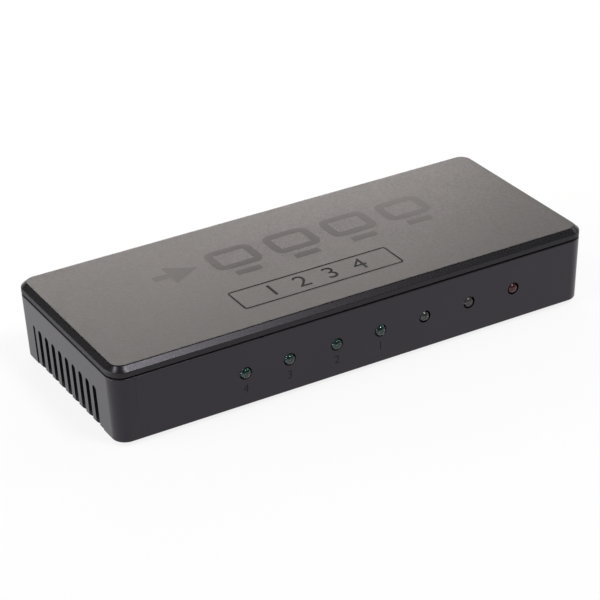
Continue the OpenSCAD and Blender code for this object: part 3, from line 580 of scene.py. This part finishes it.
class SPLITTER_OT_finish_jack(bpy.types.Operator):
    """Finish the power jack"""

    bl_idname = "splitter.finish_jack"
    bl_label = "Power jack"

    def execute(self, context):
        look = context.scene.splitter_parts
        body = moulded_plastic("jack_plastic", look.jack_tint, roughness=0.45, depth=0.004 * MM)
        pin = plated_metal("turned_pin", look.pin_tint, roughness=0.2, stretch=1.0)
        bronze = plated_metal("spring_bronze", look.bronze_tint, roughness=0.3)
        finish_node("dc_jack_body", body, look.chip_edge * 2)
        finish_node("dc_jack_pin", pin, look.chip_edge)
        finish_node("dc_jack_spring", bronze, look.sheet_edge, body=SPRING_BODY)
        return {"FINISHED"}


# Sides of a cup, its rim and the ledge round its die as shares of its radius, the width of its floor as a
# share of its mouth's, and the height of the die as a share of its depth
CUP_SIDES = 24
CUP_RIM = 0.16
CUP_LEDGE = 0.2
CUP_TAPER = 0.6
DIE_RISE = 0.4


def model_cup(look):
    """Reflector cup with its die, open towards -Y, with the middle of its mouth at the origin."""
    bpy.ops.object.select_all(action="DESELECT")
    bpy.ops.mesh.primitive_cylinder_add(vertices=CUP_SIDES, radius=look.cup_r, depth=look.cup_depth * 2,
                                        location=(0, look.cup_depth, 0), rotation=(math.pi / 2, 0, 0))
    cup = bpy.context.object
    bpy.ops.object.transform_apply(location=True, rotation=True, scale=True)
    bpy.ops.object.mode_set(mode="EDIT")
    bpy.ops.mesh.select_all(action="DESELECT")
    bpy.ops.object.mode_set(mode="OBJECT")
    for face in cup.data.polygons:
        face.select = face.normal.y < -FACING
    bpy.ops.object.mode_set(mode="EDIT")
    bpy.ops.mesh.select_mode(type="FACE")
    bpy.ops.mesh.inset(thickness=look.cup_r * CUP_RIM)
    bpy.ops.mesh.extrude_region_move(TRANSFORM_OT_translate={"value": (0, look.cup_depth, 0)})
    bpy.ops.transform.resize(value=(CUP_TAPER, 1.0, CUP_TAPER))
    bpy.ops.mesh.inset(thickness=look.cup_r * CUP_LEDGE)
    bpy.ops.mesh.extrude_region_move(TRANSFORM_OT_translate={"value": (0, -look.cup_depth * DIE_RISE, 0)})
    bpy.ops.object.mode_set(mode="OBJECT")
    smooth(cup)
    return cup


def copy_cup(model, lamp, look):
    """A copy of the cup, with a mesh of its own, behind the tip of one lamp."""
    low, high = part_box(lamp)
    middle = (low + high) / 2
    select_only(model)
    bpy.ops.object.duplicate()
    cup = bpy.context.object
    cup.name = lamp + "_cup"
    cup.location = (middle.x, low.y + look.cup_back, middle.z)
    bpy.ops.object.transform_apply(location=True, rotation=True, scale=True)
    return cup


class SPLITTER_OT_finish_lamps(bpy.types.Operator):
    """Finish the seven lamps and model the cups inside them"""

    bl_idname = "splitter.finish_lamps"
    bl_label = "Lamps"

    def execute(self, context):
        look = context.scene.splitter_lamps
        parts = context.scene.splitter_parts
        green = tinted_epoxy("green_epoxy", look.green_tint, clearness=1.0, roughness=0.05, specular=0.3)
        pale = tinted_epoxy("pale_epoxy", look.pale_tint, clearness=1.0, roughness=0.25)
        clear = tinted_epoxy("clear_epoxy", look.clear_tint, clearness=1.0, roughness=0.3)
        red = tinted_epoxy("red_epoxy", look.red_tint, clearness=0.8, roughness=0.3, specular=0.1)
        reflector = moulded_plastic("reflector_cup", look.cup_tint, roughness=0.45, depth=0.002 * MM)
        finishes = [("lamp_green", green)] * len(GREEN_LAMPS)
        finishes += [("lamp_pale_green", pale), ("lamp_clear", clear), ("lamp_red", red)]
        cup = model_cup(look)
        for lamp, (slot, epoxy) in zip(GREEN_LAMPS + DEEP_LAMPS, finishes):
            finish_node(lamp, epoxy, parts.sheet_edge)
            dress(copy_cup(cup, lamp, look), reflector)
        select_only(cup)
        bpy.ops.object.delete()
        tin = plated_metal("tinned_wire", parts.tin_tint, roughness=0.34)
        finish_node("lamp_leads", tin, parts.sheet_edge)
        return {"FINISHED"}


class SPLITTER_OT_finish_board(bpy.types.Operator):
    """Finish the circuit board and the parts on it"""

    bl_idname = "splitter.finish_board"
    bl_label = "Board"

    def execute(self, context):
        look = context.scene.splitter_parts
        board = masked_board("green_mask", look.board_tint, look.track_tint)
        finish_node("main_board", board, look.sheet_edge, segments=1)
        epoxy = moulded_plastic("chip_epoxy", look.chip_tint, roughness=0.55, depth=0.006 * MM,
                                fineness=6000.0)
        tin = plated_metal("tinned_lead", look.tin_tint, roughness=0.34)
        sink = plated_metal("extruded_aluminium", look.sink_tint, roughness=0.36, stretch=1.0)
        can = plated_metal("drawn_can", look.can_tint, roughness=0.22)
        pad = moulded_plastic("silicone_pad", look.pad_tint, roughness=0.7, depth=0.01 * MM)
        ferrite = moulded_plastic("ferrite", look.ferrite_tint, roughness=0.6, depth=0.01 * MM)
        polymer = moulded_plastic("fuse_polymer", look.fuse_tint, roughness=0.5, depth=0.006 * MM)
        ceramic = moulded_plastic("brown_ceramic", look.ceramic_tint, roughness=0.4, depth=0.004 * MM)
        base = moulded_plastic("capacitor_base", look.insulator_tint, roughness=0.5, depth=0.004 * MM)
        parts = (
            ("splitter_chip", "chip_epoxy", epoxy), ("memory_chips", "chip_epoxy", epoxy),
            ("regulators", "chip_epoxy", epoxy), ("input_diode", "chip_epoxy", epoxy),
            ("lamp_resistors", "chip_epoxy", epoxy), ("surge_arrays", "chip_epoxy", epoxy),
            ("thermal_pad", "pad_silicone", pad), ("heat_sink", "sink_aluminium", sink),
            ("crystal", "can_metal", can), ("capacitor_cans", "can_metal", can),
            ("capacitor_bases", "socket_insulator", base), ("power_inductor", "ferrite", ferrite),
            ("input_fuse", "fuse_green", polymer), ("bypass_capacitors", "chip_ceramic", ceramic),
        )
        for node, slot, material in parts:
            finish_node(node, material, look.chip_edge)
        for node in ("splitter_chip_pins", "memory_chip_pins", "regulator_leads"):
            finish_node(node, tin, look.sheet_edge / 2, segments=1)
        return {"FINISHED"}


# The pictogram has a screen for each green lamp
SCREENS = len(GREEN_LAMPS)
# Middles of the pictogram's row and of the framed numerals, on the cover's top
PICTOGRAM_AT = (1.0 * MM, 7.5 * MM)
FRAME_AT = (-4.25 * MM, -13.05 * MM)
# Segments in the rounded corners of a plate and of an arrow's head
PLATE_SEGMENTS = 4
POINT_SEGMENTS = 3
# Length of an arrow's head, in distances of its tip from its middle: its three sides are alike
HEAD_LENGTH = 1.5


def wall_y(level):
    """Distance of the front and rear walls from the middle, at this height above the underside."""
    share_below_seam = 1.0 - level / (SEAM_Z - SHELL_LOW.z)
    return SHELL_HIGH.y - share_below_seam * DRAFT


def thicken(piece, thickness, place, turn=(0.0, 0.0, 0.0)):
    """Gives a flat piece its thickness on both sides and applies its place."""
    select_only(piece)
    with editing():
        bpy.ops.mesh.remove_doubles(threshold=WELD)
    apply_modifier(piece, "SOLIDIFY", thickness=thickness * 2, offset=0.0)
    piece.rotation_euler = turn
    piece.location = place
    bpy.ops.object.transform_apply(location=True, rotation=True, scale=True)
    return piece


def printed_text(body, height, thickness, place, turn=(0.0, 0.0, 0.0)):
    """A row of numerals of this height, as a thin plate of ink around the place."""
    bpy.ops.object.select_all(action="DESELECT")
    bpy.ops.object.text_add()
    piece = bpy.context.object
    piece.data.body = body
    piece.data.align_x = "CENTER"
    piece.data.align_y = "CENTER"
    bpy.ops.object.convert(target="MESH")
    piece = bpy.context.object
    grow = height / piece.dimensions.y
    piece.scale = (grow, grow, grow)
    bpy.ops.object.transform_apply(location=False, rotation=False, scale=True)
    return thicken(piece, thickness, place, turn)


def flat_plate(width, height, corner, middle):
    """A flat plate with rounded corners, around a middle."""
    bpy.ops.object.select_all(action="DESELECT")
    bpy.ops.mesh.primitive_plane_add(size=1.0, location=(*middle, 0.0))
    piece = bpy.context.object
    piece.scale = (width, height, 1.0)
    bpy.ops.object.transform_apply(location=True, rotation=True, scale=True)
    with editing():
        bpy.ops.mesh.bevel(offset=corner, segments=PLATE_SEGMENTS, affect="VERTICES")
    return piece


def flat_ring(width, height, corner, line, middle):
    """The outline of a rectangle, drawn with a line of this width and rounded inside by the corner."""
    piece = flat_plate(width, height, corner + line, middle)
    with editing():
        bpy.ops.mesh.inset(thickness=line)
        bpy.ops.mesh.delete(type="FACE")
    return piece


def flat_arrow(length, head, stroke, corner, middle):
    """An arrow towards +X: a bar that ends at the base of a pointed head."""
    head_l = head * HEAD_LENGTH
    left = middle[0] - length / 2
    bar = flat_plate(length - head_l, stroke, corner, (left + (length - head_l) / 2, middle[1]))
    bpy.ops.object.select_all(action="DESELECT")
    bpy.ops.mesh.primitive_circle_add(vertices=3, radius=head, fill_type="NGON",
                                      location=(left + length - head, middle[1], 0.0),
                                      rotation=(0.0, 0.0, -math.pi / 2))
    point = bpy.context.object
    bpy.ops.object.transform_apply(location=True, rotation=True, scale=True)
    with editing():
        bpy.ops.mesh.bevel(offset=corner, segments=POINT_SEGMENTS, affect="VERTICES")
    return [bar, point]


def joined(name, pieces):
    """One piece made of several."""
    select_only(*pieces)
    bpy.ops.object.join()
    piece = bpy.context.object
    piece.name = name
    return piece


def pictogram(look):
    """An arrow and four screens in a row: one picture goes to four screens."""
    step = look.screen_w + look.screen_gap
    left = PICTOGRAM_AT[0] - (look.arrow_l + SCREENS * step) / 2
    level = PICTOGRAM_AT[1]
    arrow = flat_arrow(look.arrow_l, look.arrow_head, look.stroke, look.corner,
                       (left + look.arrow_l / 2, level))
    across = left + look.arrow_l + look.screen_gap + look.screen_w / 2
    foot_level = level - look.screen_h / 2 - look.foot_gap - look.stroke / 2
    border = flat_ring(look.screen_w, look.screen_h, look.corner, look.stroke, (across, level))
    foot = flat_plate(look.foot_w, look.stroke, look.corner, (across, foot_level))
    screens = joined("screens", [border, foot])
    apply_modifier(screens, "ARRAY", count=SCREENS, use_relative_offset=False, use_constant_offset=True,
                   constant_offset_displace=(step, 0.0, 0.0))
    return joined("top_pictogram", [*arrow, screens])


def numeral_row(name, nodes, height, level, thickness, side):
    """The numerals 4 to 1 on the front (side -1) or rear wall (side 1), in line with these nodes."""
    turn = (math.pi / 2 + WALL_LEAN, 0.0, math.pi if side > 0 else 0.0)
    numerals = []
    for number, node in zip("4321", nodes):
        low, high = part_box(node)
        place = ((low.x + high.x) / 2, side * wall_y(level), SHELL_LOW.z + level)
        numerals.append(printed_text(number, height, thickness, place, turn))
    return joined(name, numerals)


class SPLITTER_OT_print_marks(bpy.types.Operator):
    """Print the plain numerals and the pictogram"""

    bl_idname = "splitter.print_marks"
    bl_label = "Marks"

    def execute(self, context):
        look = context.scene.splitter_marks
        ink = moulded_plastic("gloss_print", look.ink_tint, look.ink_roughness, depth=0.001 * MM, dust=0.0,
                              specular=0.27)
        dark = moulded_plastic("dark_print", look.ink_tint, roughness=0.2, depth=0.001 * MM, dust=0.0,
                               specular=0.2)
        matte = moulded_plastic("matte_print", look.ink_tint, roughness=0.5, depth=0.002 * MM, dust=0.0,
                                specular=0.14)
        under_lamps = numeral_row("lamp_numerals", GREEN_LAMPS, look.lamp_numeral_h, look.lamp_numeral_z,
                                  look.ink_t, side=-1)
        dress(under_lamps, matte)
        socket_shells = [name + "_shell" for name in SOCKETS]
        over_sockets = numeral_row("rear_numerals", socket_shells, look.rear_numeral_h, look.rear_numeral_z,
                                   look.ink_t, side=1)
        dress(over_sockets, matte)
        on_top = (0.0, 0.0, COVER_HIGH.z)
        dress(thicken(pictogram(look), look.ink_t, on_top), ink)
        border = flat_ring(look.frame_w, look.frame_h, look.corner, look.frame_line, FRAME_AT)
        border = thicken(border, look.ink_t, on_top)
        row = printed_text("1  2  3  4", look.top_numeral_h, look.ink_t, (*FRAME_AT, COVER_HIGH.z))
        dress(joined("top_framed_numerals", [border, row]), dark)
        return {"FINISHED"}


# Stage


# Softboxes: place, width and height in metres, brightness of the cloth, and tint
SOFTBOXES = (
    ("rear_low_softbox", (0.13, 0.36, 0.06), (0.28, 0.11), 10.0, (1.0, 0.93, 0.9)),
    ("rear_middle_softbox", (0.32, 0.36, 0.17), (0.32, 0.1), 4.0, (1.0, 0.93, 0.9)),
    ("rear_high_softbox", (0.07, 0.36, 0.235), (0.14, 0.1), 4.2, (1.0, 0.93, 0.9)),
    ("left_softbox", (-0.66, 0.18, 0.146), (0.6, 0.16), 12.0, (1.0, 0.97, 1.0)),
    ("upper_left_softbox", (-0.46, -0.03, 0.65), (0.12, 0.12), 26.0, (1.0, 1.0, 1.0)),
    ("front_softbox", (0.13, -0.365, 0.695), (0.2, 0.2), 24.0, (1.0, 1.0, 1.0)),
    ("right_softbox", (0.57, 0.0, 0.4), (0.26, 0.26), 3.0, (1.0, 1.0, 1.0)),
)
# Share of plain white in the floor's look, its shades without it, and its size in metres
PAPER_WHITE = 0.85
PAPER_SHADES = ((0.78, 0.78, 0.78, 1.0), (0.8, 0.8, 0.8, 1.0))
FLOOR_SIZE = 12.0
# The pale walls fade to the dim ceiling between these sines of the elevation
WALL_FOOT = 0.1
WALL_HEAD = 0.25


def combine(tree, operation, first, second):
    """One sum, product or choice of two numbers, each a socket or a plain value."""
    node = add_node(tree, "ShaderNodeMath", operation=operation)
    for socket, value in zip(node.inputs, (first, second)):
        if isinstance(value, float):
            socket.default_value = value
        else:
            tree.links.new(value, socket)
    return node.outputs[0]


def ray_kinds(tree):
    """Ones where a ray comes from the camera, from a shiny or clear surface, and from a dull one."""
    path = add_node(tree, "ShaderNodeLightPath").outputs
    shiny = combine(tree, "MAXIMUM", path["Is Glossy Ray"], path["Is Transmission Ray"])
    return path["Is Camera Ray"], shiny, path["Is Diffuse Ray"]


def studio_world(fill, ceiling):
    """White to the eye, pale walls under a dim ceiling in reflections, and an even light all around."""
    world = bpy.data.worlds.new("studio")
    bpy.context.scene.world = world
    world.use_nodes = True
    world.cycles.sampling_method = "NONE"
    tree = world.node_tree
    background = tree.nodes["Background"]
    background.inputs["Color"].default_value = (1.0, 1.0, 1.0, 1.0)
    place = add_node(tree, "ShaderNodeTexCoord")
    parts = add_node(tree, "ShaderNodeSeparateXYZ")
    room = add_node(tree, "ShaderNodeMapRange", interpolation_type="SMOOTHSTEP", inputs={
        "From Min": WALL_FOOT, "From Max": WALL_HEAD, "To Min": 1.0, "To Max": ceiling})
    tree.links.new(place.outputs["Generated"], parts.inputs["Vector"])
    tree.links.new(parts.outputs["Z"], room.inputs["Value"])
    eye, shiny, dull = ray_kinds(tree)
    seen = combine(tree, "MAXIMUM", eye, combine(tree, "MULTIPLY", shiny, room.outputs["Result"]))
    strength = combine(tree, "MAXIMUM", seen, combine(tree, "MULTIPLY", dull, fill))
    tree.links.new(strength, background.inputs["Strength"])


def paper_floor():
    """Pale paper that reads as white and keeps a soft shadow; it isn't seen from below."""
    material, tree, shader = new_material("white_paper", Roughness=0.9, Specular_IOR_Level=0.0)
    material.cycles.emission_sampling = "NONE"
    fibre = place_group(tree, "moulded_grain", build_moulded_grain, {"Mottle Scale": 3.0})
    tone = vary_colour(tree, fibre.outputs["Mottle"], *PAPER_SHADES)
    tree.links.new(tone, shader.inputs["Base Color"])
    glow = add_node(tree, "ShaderNodeEmission", {"Strength": 1.0})
    white = add_node(tree, "ShaderNodeMixShader")
    clear = add_node(tree, "ShaderNodeBsdfTransparent")
    side = add_node(tree, "ShaderNodeNewGeometry")
    both = add_node(tree, "ShaderNodeMixShader")
    eye, shiny, _ = ray_kinds(tree)
    seen = combine(tree, "MAXIMUM", eye, shiny)
    tree.links.new(combine(tree, "MULTIPLY", seen, PAPER_WHITE), white.inputs["Fac"])
    tree.links.new(shader.outputs["BSDF"], white.inputs[1])
    tree.links.new(glow.outputs["Emission"], white.inputs[2])
    tree.links.new(side.outputs["Backfacing"], both.inputs["Fac"])
    tree.links.new(white.outputs["Shader"], both.inputs[1])
    tree.links.new(clear.outputs["BSDF"], both.inputs[2])
    tree.links.new(both.outputs["Shader"], tree.nodes["Material Output"].inputs["Surface"])
    bpy.ops.object.select_all(action="DESELECT")
    bpy.ops.mesh.primitive_plane_add(size=FLOOR_SIZE, location=(0.0, 0.0, CAD_LOW.z))
    floor = bpy.context.object
    floor.name = "floor"
    floor.data.materials.append(material)


def softbox(name, place, size, brightness, tint):
    """A lit cloth turned to the spot under the middle of the box; the camera doesn't see it."""
    bpy.ops.object.light_add(type="AREA", location=place)
    light = bpy.context.object
    light.name = name
    light.data.shape = "RECTANGLE"
    light.data.size, light.data.size_y = size
    light.data.energy = brightness * math.pi * size[0] * size[1]
    light.data.color = tint
    light.visible_camera = False
    light.rotation_euler = (-light.location).to_track_quat("-Z", "Y").to_euler()


def studio_camera(look):
    """A camera around the middle of the underside, offset sideways and up, and rolled."""
    back = Vector((math.sin(look.azimuth) * math.cos(look.elevation),
                   -math.cos(look.azimuth) * math.cos(look.elevation), math.sin(look.elevation)))
    right = Vector((0.0, 0.0, 1.0)).cross(back).normalized()
    up = back.cross(right)
    rolled_right = right * math.cos(look.roll) + up * math.sin(look.roll)
    rolled_up = up * math.cos(look.roll) - right * math.sin(look.roll)
    place = back * look.distance + right * look.aim_right + up * look.aim_up
    place.z += SHELL_LOW.z
    bpy.ops.object.camera_add()
    camera = bpy.context.object
    camera.data.lens = look.lens
    turn = Matrix((rolled_right, rolled_up, back)).transposed().to_4x4()
    camera.matrix_world = Matrix.Translation(place) @ turn
    return camera


class SPLITTER_OT_build_stage(bpy.types.Operator):
    """Set up the camera, floor and lights"""

    bl_idname = "splitter.build_stage"
    bl_label = "Stage"

    def execute(self, context):
        look = context.scene.splitter_stage
        context.scene.view_settings.view_transform = "Standard"
        studio_world(look.fill, look.ceiling)
        paper_floor()
        for name, place, size, brightness, tint in SOFTBOXES:
            softbox(name, place, size, brightness, tint)
        context.scene.camera = studio_camera(look)
        return {"FINISHED"}


class SPLITTER_PT_build(bpy.types.Panel):
    """Lists the pieces of the splitter box"""

    bl_idname = "SPLITTER_PT_build"
    bl_label = "Splitter box"
    bl_space_type = "VIEW_3D"
    bl_region_type = "UI"
    bl_category = "Splitter"

    def draw(self, context):
        for operator in OPERATORS:
            self.layout.operator(operator.bl_idname)


SETTINGS = {
    "splitter_case": CaseSettings,
    "splitter_parts": PartSettings,
    "splitter_lamps": LampSettings,
    "splitter_marks": MarkSettings,
    "splitter_stage": StageSettings,
}
OPERATORS = (
    SPLITTER_OT_finish_case,
    SPLITTER_OT_finish_hardware,
    SPLITTER_OT_finish_sockets,
    SPLITTER_OT_finish_jack,
    SPLITTER_OT_finish_lamps,
    SPLITTER_OT_finish_board,
    SPLITTER_OT_print_marks,
    SPLITTER_OT_build_stage,
)


def register():
    """Registers the settings, the operators and the panel."""
    for settings in SETTINGS.values():
        bpy.utils.register_class(settings)
    for operator in OPERATORS:
        bpy.utils.register_class(operator)
    bpy.utils.register_class(SPLITTER_PT_build)
    for name, settings in SETTINGS.items():
        setattr(bpy.types.Scene, name, PointerProperty(type=settings))


def unregister():
    """Takes back what register did."""
    for name in SETTINGS:
        delattr(bpy.types.Scene, name)
    bpy.utils.unregister_class(SPLITTER_PT_build)
    for operator in reversed(OPERATORS):
        bpy.utils.unregister_class(operator)
    for settings in reversed(tuple(SETTINGS.values())):
        bpy.utils.unregister_class(settings)


def main():
    """Builds the whole box."""
    register()
    bpy.ops.splitter.finish_case()
    bpy.ops.splitter.finish_hardware()
    bpy.ops.splitter.finish_sockets()
    bpy.ops.splitter.finish_jack()
    bpy.ops.splitter.finish_lamps()
    bpy.ops.splitter.finish_board()
    bpy.ops.splitter.print_marks()
    bpy.ops.splitter.build_stage()


if __name__ == "__main__":
    main()
